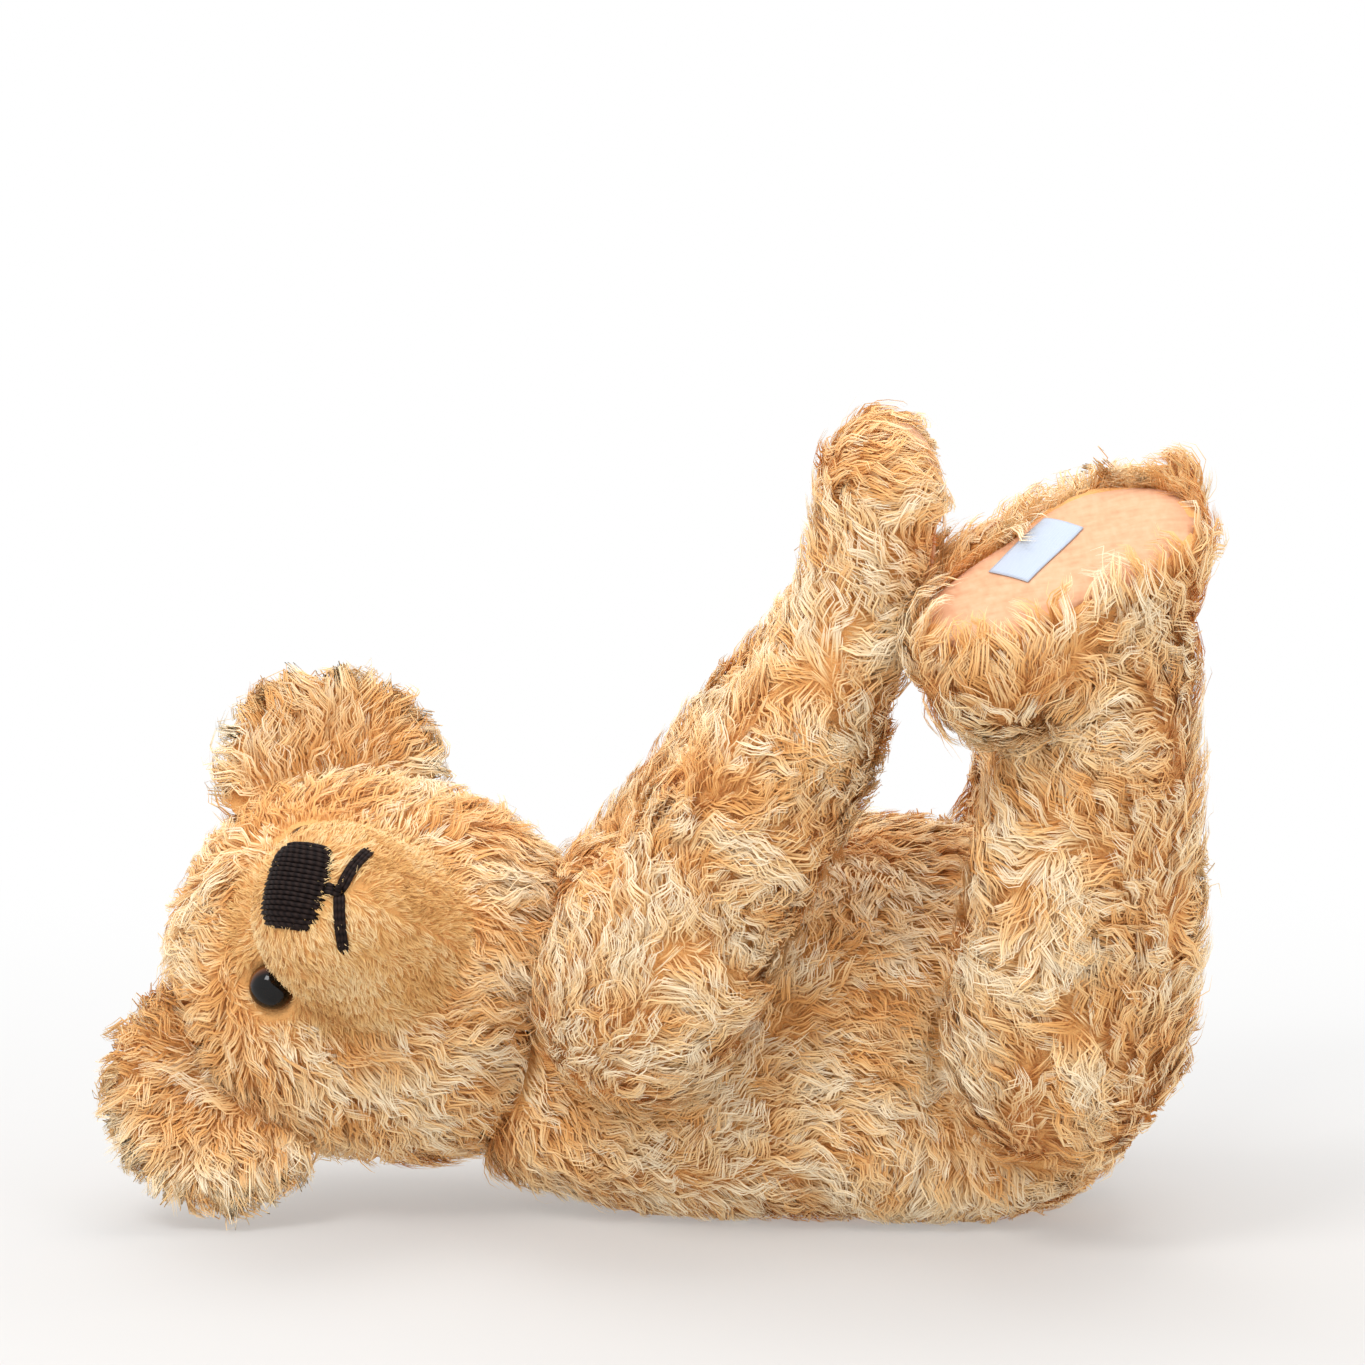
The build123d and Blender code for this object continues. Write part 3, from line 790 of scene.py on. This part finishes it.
def torsoFlow(points):
    return np.array([0.75, 0, -0.25]) + 0.95 * swirl(points, 0.055, 21)


def allOver(points):
    return np.ones(len(points))


def growBoth(name, made, body, flow, sizeOf, seed, look=pileLook):   # locks, and down below them
    growPile(name, made, body, flow, sizeOf, look, seed)
    growPile(name + "_under", made, body, flow, sizeOf, underLook, seed + 100)


def lowShort(points):             # pressed short where it lies on the table
    return 0.5 + 0.5 * ease(points[:, 2], 0.002, 0.022)


growBoth("torso_pile", cloths["torso"], "torso", torsoFlow, lowShort, 3)


def limbFlow(place, seed):
    def flow(points):
        return place.x * 0.75 + np.array([0, 0, -0.15]) + 0.95 * swirl(points, 0.050, seed)
    return flow


armPadLook = {"wrist": 0.104, "seam": 0.0150, "tilt": 0.22, "lift": 0.0009, "thick": 0.0009}
legPileSize = 1.15


def handOf(side):
    return -1 if side == "left" else 1


def pawSide(side, points):        # how far a point is into the paw pad, in metres; above 0 is felt
    p = arms[side].inside(points)
    look = armPadLook
    along = p[:, 0] - look["wrist"]
    under = look["seam"] - p[:, 2] - look["tilt"] * p[:, 1] * handOf(side)
    return np.minimum(along * 0.9, under)


def soleSide(side, points):       # above 0 is on the sole, inside its rim
    return soles[side].inside(points)[:, 2] + 0.0026


for k, s in enumerate(sides):
    growBoth(s + "_arm_pile", cloths[s + "_arm"], s + "_arm", limbFlow(arms[s], 31 + k),
             lambda points, s=s: np.where(pawSide(s, points) > 0, 0.0, 1.0), 5 + k)
    growBoth(s + "_leg_pile", cloths[s + "_leg"], s + "_leg", limbFlow(legs[s], 41 + k),
             lambda points, s=s: np.where(soleSide(s, points) > 0, 0.0, legPileSize), 8 + k)


muzzleTip = head.inside(nodePoints("nose_stitching").mean(0))


def faceShort(points):            # 1 on the short pile of the muzzle, 0 out on the long pile
    p = head.inside(points)
    centre = muzzleTip * np.array([0.78, 0, 0.86])
    across = (p - centre) / np.array([0.040, 0.036, 0.050])
    return 1 - ease(np.linalg.norm(across, axis=1), 0.85, 1.12)


def eyeClear(points):
    gap = np.min([np.linalg.norm(points - eyes[s], axis=1) for s in eyes], axis=0)
    return ease(gap, 0.0085, 0.017)


def headFlow(points):
    away = unit(points - head.outside(muzzleTip * np.array([1.05, 0, 0.8])))
    return away * 0.9 - head.x * 0.35 + 0.65 * swirl(points, 0.045, 51)


def headSize(points):
    clear, short = eyeClear(points), faceShort(points)
    return (1 - 0.75 * short) * (0.35 + 0.65 * clear) * (clear > 0.02) * (short < 0.6)


growBoth("head_pile", cloths["head"], "head", headFlow, headSize, 12)


def muzzleFlow(points):
    p = head.inside(points)
    away = points - head.outside(muzzleTip + np.array([0.002, 0, 0.004]))
    part = head.y * np.sign(p[:, 1:2]) * 0.012 * (1 - ease(p[:, :1], 0.055, 0.065))
    return unit(away + part) + 0.25 * swirl(points, 0.02, 61)


muzzlePileLook = dict(pileLook, density=2.2, lockSpacing=1.5, length=3.6, width=0.24, lift=1.1,
                      bend=0.25, gather=0.35, segments=3, strays=0.02)


def muzzleSize(points):
    return np.where(faceShort(points) >= 0.35, 1.0, 0.0) * (eyeClear(points) > 0.02)


growPile("muzzle_pile", cloths["head"], "head", muzzleFlow, muzzleSize, muzzlePileLook, 13,
         muzzlePile)

for k, s in enumerate(sides):
    base = head.outside([0.070, 0.030 * handOf(s), 0.0])
    growBoth("ear_" + s + "_pile", cloths["ear_" + s], "head",
             lambda points, base=base: unit(points - base) + 0.6 * swirl(points, 0.035, 71),
             allOver, 15 + k,
             dict(pileLook, length=earLook["pileLength"], lift=earLook["pileLift"]))
print("pile:", pileCount[0], "hairs,", pileCount[1], "triangles")


def rim(place, cloth, level, count):   # how far the foot's edge is at each angle round the pad
    tree = Ground(cloth).tree
    angles = np.linspace(0, 2 * math.pi, count, endpoint=False)
    start = place.outside([0, 0, level])
    edge = []
    for a in angles:
        way = place.x * math.cos(a) + place.y * math.sin(a)
        edge.append(tree.ray_cast(Vector(start), Vector(way))[3])
    edge = np.array(edge)
    for _ in range(3):
        edge = (np.roll(edge, 1) + 2 * edge + np.roll(edge, -1)) / 4
    return angles, edge


footPadLook = {
    "level": -0.0022,             # where the foot's edge is measured
    "inset": 0.0010,
    "dome": 0.0016,
    "tuck": 0.0009,               # how far the edge turns in
    "sink": 0.0004,
    "thick": 0.0014,
    "rings": 18,
    "around": 96,
    "dimple": 0.0003,
}


def makeFootPad(side):
    look, place = footPadLook, soles[side]
    angles, edge = rim(place, cloths[side + "_leg"], look["level"], look["around"])
    edge = edge - look["inset"]
    rows, faces = [], []
    for i in range(look["rings"] + 1):
        r = i / look["rings"]
        for a, e in zip(angles, edge):
            lift = look["dome"] * (1 - r ** 4) - look["tuck"] * r ** 10
            rows.append([math.cos(a) * e * r, math.sin(a) * e * r, lift - look["sink"]])
    rows = np.array(rows)
    rows[:, 2] += look["dimple"] * drift(place.outside(rows), 0.022, 81)
    points = place.outside(rows)
    n = look["around"]
    for i in range(look["rings"]):
        for j in range(n):
            a, b = i * n + j, i * n + (j + 1) % n
            faces.append((a, a + n, b + n, b) if i else (a, a + n, b + n))
    points = np.concatenate([[points[:n].mean(0)], points[n:]])
    faces = [tuple(0 if v < n else v - n + 1 for v in f) for f in faces]
    made = meshObject(side + "_sole_felt", points, faces, feltFinish, side + "_leg")
    solid = made.modifiers.new("thickness", "SOLIDIFY")
    solid.thickness, solid.offset = look["thick"], -1
    area = 0.5 * np.sum(edge * np.roll(edge, -1)) * math.sin(2 * math.pi / n)
    ways = np.stack([np.cos(angles), np.sin(angles)], -1) * edge[:, None]
    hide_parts(side + "_foot_pad")
    side + "_insole_card"


for s in sides:
    makeFootPad(s)


def makePawPad(side):
    bm = bmesh.new()
    bm.from_mesh(cloths[side + "_arm"].data)
    place, look = arms[side], armPadLook
    wrist = place.outside([look["wrist"], 0, 0])
    seamAt = place.outside([0, 0, look["seam"]])
    seamWay = unit(place.z + place.y * look["tilt"] * handOf(side))
    for at, way in ((wrist, -place.x), (seamAt, seamWay)):
        bmesh.ops.bisect_plane(bm, geom=bm.verts[:] + bm.edges[:] + bm.faces[:],
                               plane_co=Vector(at), plane_no=Vector(way), clear_outer=True)
    bmesh.ops.triangulate(bm, faces=[f for f in bm.faces if len(f.verts) > 4])
    mesh = bpy.data.meshes.new(side + "_paw_felt")
    bm.to_mesh(mesh)
    bm.free()
    points, _, normals = arrays(mesh)
    mesh.vertices.foreach_set("co", (points + normals * look["lift"]).ravel())
    mesh.update()
    mesh.materials.clear()
    mesh.materials.append(feltFinish)
    mesh.shade_smooth()
    made = placed(mesh.name, mesh, side + "_arm")
    points, triangles, _ = arrays(mesh)
    a, b, c = (points[triangles[:, i]] for i in range(3))
    area = np.linalg.norm(np.cross(b - a, c - a), axis=1).sum() / 2
    p = place.inside(points)
    solid = made.modifiers.new("thickness", "SOLIDIFY")
    solid.thickness, solid.offset = look["thick"], -1
    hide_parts(side + "_paw_pad")
    side + "_arm_stuffing"


for s in sides:
    makePawPad(s)


headGround = Ground(cloths["head"])


def onFace(height, across, lift):            # a point on the muzzle, under that height and width
    start = head.outside([height, across, 0.12])
    hit = headGround.tree.ray_cast(Vector(start), Vector(-head.z))
    return np.array(hit[0]) + np.array(hit[1]) * lift, np.array(hit[1])


def tube(rows, radius, corners=6):           # verts and quads of a round thread with closed ends
    rows = np.array(rows)
    tangents = unit(np.gradient(rows, axis=0))
    hint = head.z if abs(np.dot(tangents[0], head.z)) < 0.8 else head.x
    side = unit(np.cross(tangents, hint))
    up = np.cross(side, tangents)
    angles = np.linspace(0, 2 * math.pi, corners, endpoint=False)[None, :, None]
    ring = side[:, None, :] * np.cos(angles) + up[:, None, :] * np.sin(angles)
    swell = np.ones(len(rows))
    swell[0] = swell[-1] = 0.35
    points = rows[:, None, :] + ring * (radius * swell)[:, None, None]
    faces = []
    for i in range(len(rows) - 1):
        for j in range(corners):
            a, b = i * corners + j, i * corners + (j + 1) % corners
            faces.append((a, b, b + corners, a + corners))
    faces.append(tuple(range(corners - 1, -1, -1)))
    faces.append(tuple(range((len(rows) - 1) * corners, len(rows) * corners)))
    return points.reshape(-1, 3), faces, corners


def threads(name, strands, replaced):        # many threads as one piece, with the twist's map
    points, faces, coords = [], [], []
    for rows, radius in strands:
        made, quads, corners = tube(rows, radius)
        start = sum(len(p) for p in points)
        steps = np.linalg.norm(np.diff(np.array(rows), axis=0), axis=1)
        length = np.concatenate([[0], np.cumsum(steps)])
        points.append(made)
        for f in quads:
            faces.append(tuple(v + start for v in f))
            closing = len(f) == 4 and max(w % corners for w in f) == corners - 1
            for v in f:
                i, j = divmod(v, corners)
                seam = 1.0 if closing and j == 0 else j / corners
                coords.append((seam, length[i] / 0.02))
    made = meshObject(name, np.concatenate(points), faces, noseFinish, "head")
    layer = made.data.uv_layers.new(name="OFBake")
    layer.data.foreach_set("uv", np.array(coords, np.float32).ravel())
    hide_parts(replaced)


noseLook = {
    "low": 0.0605,
    "high": 0.0775,
    "half": 0.0112,
    "threads": 19,
    "radius": 0.00072,
    "puff": 0.0022,
    "corner": 0.0030,             # how much shorter the outermost threads are
    "layerStep": 0.0006,
}


def makeNose():
    rng = np.random.default_rng(4)
    look, strands = noseLook, []
    for layer in range(2):
        for k in range(look["threads"] - layer):
            share = (k + 0.5 * layer) / (look["threads"] - 1) * 2 - 1
            across = share * look["half"]
            shorter = look["corner"] * abs(share) ** 4
            low = look["low"] + shorter * 0.6 + rng.uniform(-0.00015, 0.00015)
            high = look["high"] - shorter + rng.uniform(-0.00015, 0.00015)
            rows = []
            for t in np.linspace(0, 1, 9):
                bulge = look["puff"] * (1 - abs(2 * t - 1) ** 3) * (1 - 0.5 * share ** 4)
                at, _ = onFace(low + (high - low) * t, across + rng.uniform(-0.00008, 0.00008),
                               bulge + layer * look["layerStep"] - look["layerStep"])
                rows.append(at)
            strands.append((rows, look["radius"] * rng.uniform(0.9, 1.1)))
    threads("nose_threads", strands, "nose_stitching")


mouthLook = {
    "lines": [((0.0615, 0.0), (0.0570, 0.0)),          # from and to: height, place across
              ((0.0575, 0.0), (0.0525, 0.0145)),
              ((0.0575, 0.0), (0.0525, -0.0145))],
    "offsets": (-0.0009, 0.0, 0.0009),
    "radius": 0.00068,
    "sag": 0.0008,
    "lift": 0.0010,
}


def makeMouth():
    rng = np.random.default_rng(6)
    look, strands = mouthLook, []
    for (h0, a0), (h1, a1) in look["lines"]:
        way = unit(np.array([h1 - h0, a1 - a0]))
        side = np.array([-way[1], way[0]])
        for offset in look["offsets"]:
            rows = []
            for t in np.linspace(0, 1, 9):
                sag = look["sag"] * math.sin(math.pi * t) * (1 if a1 else 0)
                height = h0 + (h1 - h0) * t + side[0] * offset + sag
                across = a0 + (a1 - a0) * t + side[1] * offset
                lift = look["lift"] * (1 - abs(2 * t - 1) ** 5) + 0.0002
                at, _ = onFace(height, across, lift)
                rows.append(at)
            strands.append((rows, look["radius"] * rng.uniform(0.92, 1.08)))
    threads("mouth_threads", strands, "mouth_stitching")


makeNose()
makeMouth()

for s in sides:
    nodes["eye_" + s].data.materials.clear()
    nodes["eye_" + s].data.materials.append(eyeMaterial("eye_glass_" + s, s))

labelLook = {
    "ground": (0.66, 0.72, 0.80),
    "thread": (0.44, 0.52, 0.66),
    "warps": 60.0,
    "wefts": 34.0,
    "cells": (26, 14),
    "thick": 0.0003,
    "lift": 0.00025,
    "puff": 0.0003,               # how much the middle stands over the sewn edge
}


def labelMaterial():
    g = Graph("label_weave", **{"Roughness": 0.55, "Sheen Weight": 0.2})
    u, v = strandMap(g)
    warp = (u * (2 * math.pi * labelLook["warps"])).sine() * 0.5 + 0.5
    weft = (v * (2 * math.pi * labelLook["wefts"])).sine() * 0.5 + 0.5
    weave = g.blend((warp * weft).clamped(), labelLook["thread"], labelLook["ground"])
    return g.feed(baseColor=weave, normal=g.bumped(warp + weft, 0.35, 0.00015))


def makeLabel():
    points = nodePoints("foot_label")
    place = padPlace("foot_label", legs["right"].origin)
    p = place.inside(points)
    low, high = p.min(0), p.max(0)
    ground = Ground(bpy.data.objects["right_sole_felt"])
    look, (nx, ny) = labelLook, labelLook["cells"]
    rows, faces, coords = [], [], []
    for j in range(ny + 1):
        for i in range(nx + 1):
            u, v = i / nx, j / ny
            at = place.outside([low[0] + (high[0] - low[0]) * u,
                                low[1] + (high[1] - low[1]) * v, 0.01])
            hit = ground.tree.ray_cast(Vector(at), Vector(-place.z))
            edge = min(u, 1 - u, (v * 0.5), (1 - v) * 0.5)
            rise = look["lift"] + look["puff"] * (1 - math.exp(-edge * 18))
            rows.append(np.array(hit[0]) + np.array(place.z) * rise)
            coords.append((0.01 + 0.98 * u, 0.01 + 0.98 * v))
    for j in range(ny):
        for i in range(nx):
            a = j * (nx + 1) + i
            faces.append((a, a + 1, a + nx + 2, a + nx + 1))
    made = meshObject("sole_label", rows, faces, labelMaterial(), "right_leg")
    layer = made.data.uv_layers.new(name="OFBake")
    corners = np.array([coords[v] for f in faces for v in f], np.float32)
    layer.data.foreach_set("uv", corners.ravel())
    solid = made.modifiers.new("thickness", "SOLIDIFY")
    solid.thickness, solid.offset = look["thick"], 1
    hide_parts("foot_label")


makeLabel()
print("nose, mouth, eyes and label made")


# part of a node's name: dark and light colour, roughness, and what differs from a plain finish
insideLook = {
    "disc": ("hardboard", (0.16, 0.08, 0.035), (0.26, 0.15, 0.07), 0.75),
    "card": ("insole_card", (0.42, 0.33, 0.22), (0.55, 0.45, 0.32), 0.85),
    "washer bolt nuts wire": ("zinc_steel", (0.55, 0.56, 0.58), (0.72, 0.73, 0.75), 0.35, 120.0,
                              1.0),
    "stuffing": ("wood_wool", (0.62, 0.52, 0.36), (0.80, 0.72, 0.56), 0.95, 220.0, 0.0, 0.8),
}
insideFinishes = [(words.split(), plainMaterial(*look)) for words, look in insideLook.items()]
for name, made in nodes.items():
    fitting = [finish for words, finish in insideFinishes if any(w in name for w in words)]
    if fitting:
        made.data.materials.clear()
        made.data.materials.append(fitting[0])
print("insides finished")


stageLook = {
    "floor": (0.60, 0.59, 0.58),
    "floorLight": (0.63, 0.62, 0.61),
    "radius": 3.0,
    "fadeFrom": -0.35,            # behind this the floor fades into the white background
    "fadeTo": 0.55,
    "world": 1.0,
}


def makeStage():
    bpy.ops.mesh.primitive_circle_add(vertices=64, radius=stageLook["radius"], fill_type="NGON",
                                      location=(0, 0, -0.0002))
    floor = bpy.context.object
    floor.name = "pale_floor"
    g = Graph("pale_floor", **{"Roughness": 0.75, "Specular IOR Level": 0.2})
    g.feed(baseColor=g.blend(g.noise(6.0, 2.0), stageLook["floor"], stageLook["floorLight"]))
    back = g.out(g.add("SeparateXYZ", {}, {0: g.local()}), 1)
    fadeWidth = stageLook["fadeTo"] - stageLook["fadeFrom"]
    fade = ((back - stageLook["fadeFrom"]) / fadeWidth).clamped()
    fade = fade * fade * (3.0 - 2.0 * fade)
    glow = g.add("Emission", {}, {"Color": (1, 1, 1, 1), "Strength": 1.0})
    mix = g.add("MixShader", {}, {0: fade, 1: g.out(g.shader, "BSDF"), 2: g.out(glow)})
    output = [n for n in g.tree.nodes if n.type == "OUTPUT_MATERIAL"][0]
    g.tree.links.new(mix.outputs[0], output.inputs[0])
    floor.data.materials.append(g.material)
    world = bpy.data.worlds.new("studio")
    world.use_nodes = True
    background = world.node_tree.nodes["Background"]
    background.inputs[0].default_value = (1, 1, 1, 1)
    background.inputs[1].default_value = stageLook["world"]
    bpy.context.scene.world = world


def softbox(name, place, power, size, aim=(0, 0, 0.08)):
    light = bpy.data.lights.new(name, "AREA")
    light.shape, light.size, light.energy = "SQUARE", size, power
    made = bpy.data.objects.new(name, light)
    made.location = place
    made.rotation_euler = (Vector(aim) - Vector(place)).to_track_quat("-Z", "Y").to_euler()
    bpy.context.scene.collection.objects.link(made)


lightLook = {                     # place, watts, size
    "key": ((-0.7, -1.0, 1.4), 12.5, 0.6),
    "fill": ((1.1, -1.2, 0.7), 4.0, 0.9),
    "top": ((0.1, 0.3, 1.6), 7.0, 0.9),
}
makeStage()
for name, look in lightLook.items():
    softbox(name, *look)
bpy.context.scene.view_settings.view_transform = "Standard"

cameraLook = {
    "lens": 122.4,
    "sensor": 36.0,
    "distance": 1.3,
    "elevation": 7.0,             # degrees
    "aim": (-0.0273, 0.0, 0.1483),
}
camera = bpy.data.objects.new("camera", bpy.data.cameras.new("camera"))
bpy.context.scene.collection.objects.link(camera)
rise = math.radians(cameraLook["elevation"])
aim = Vector(cameraLook["aim"])
camera.location = aim + Vector((0, -math.cos(rise), math.sin(rise))) * cameraLook["distance"]
camera.rotation_euler = (aim - camera.location).to_track_quat("-Z", "Y").to_euler()
camera.data.lens = cameraLook["lens"]
camera.data.sensor_width = cameraLook["sensor"]
camera.data.clip_start, camera.data.clip_end = 0.01, 20
bpy.context.scene.camera = camera
print("stage, lights and camera made")
